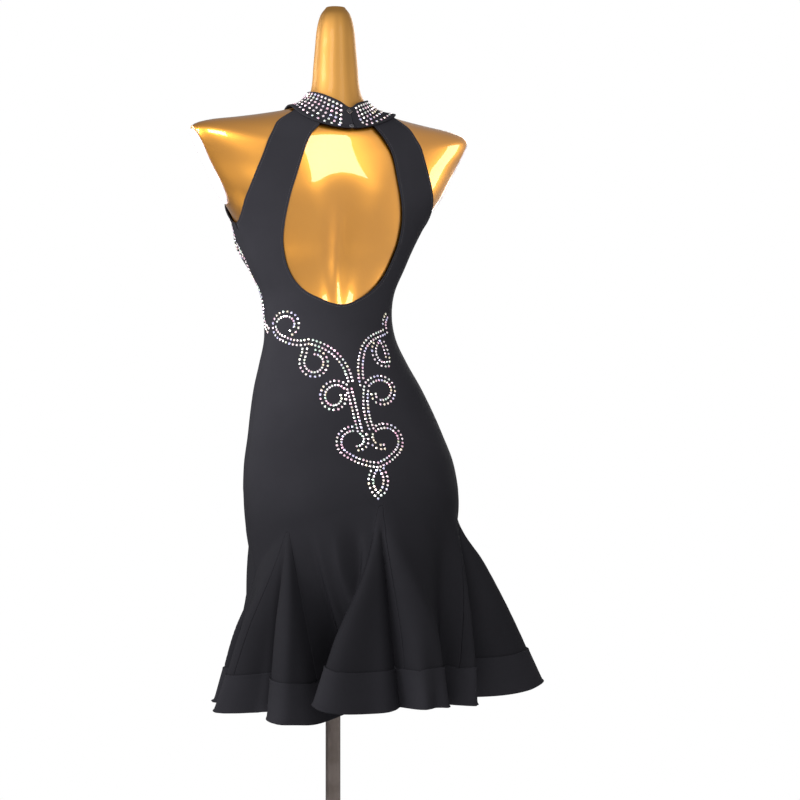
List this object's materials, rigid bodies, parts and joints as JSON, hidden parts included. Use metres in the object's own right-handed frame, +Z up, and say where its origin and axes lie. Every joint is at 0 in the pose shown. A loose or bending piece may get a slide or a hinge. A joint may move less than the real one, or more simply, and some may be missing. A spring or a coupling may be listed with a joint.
{
  "type": "salsa dance dress on dress form stand",
  "caption": "Black backless halter dance dress with a fitted bodice, flared godet skirt, hem band and stand collar, on a limbless gold dress form with a pole stand.",
  "frame": {"origin": "middle of the stand base's underside, on the pole's axis", "axes": "+Z up along the pole; the dress faces -Y and its open back faces +Y; +X is the wearer's left"},
  "size_m": [0.5066, 0.4396, 1.551],
  "materials": {
    "black_crepe": "matt stretch crepe",
    "gold_form": "polished gold lacquer",
    "pearl_plate": "pale pearl",
    "steel": "satin",
    "black_button": "gloss"
  },
  "bodies": {
    "root": {"dress_form": "gold_form", "arm_plate_left": "pearl_plate", "arm_plate_right": "pearl_plate", "stand_pole": "steel", "stand_base": "steel", "back_panel": "black_crepe", "front_panel": "black_crepe", "godet_back_centre": "black_crepe", "godet_back_left": "black_crepe", "godet_back_right": "black_crepe", "godet_side_left": "black_crepe", "godet_side_right": "black_crepe", "godet_front_left": "black_crepe", "godet_front_centre": "black_crepe", "godet_front_right": "black_crepe", "hem_band": "black_crepe", "collar": "black_crepe", "collar_button_upper": "black_button", "collar_button_lower": "black_button"}
  },
  "joints": []
}
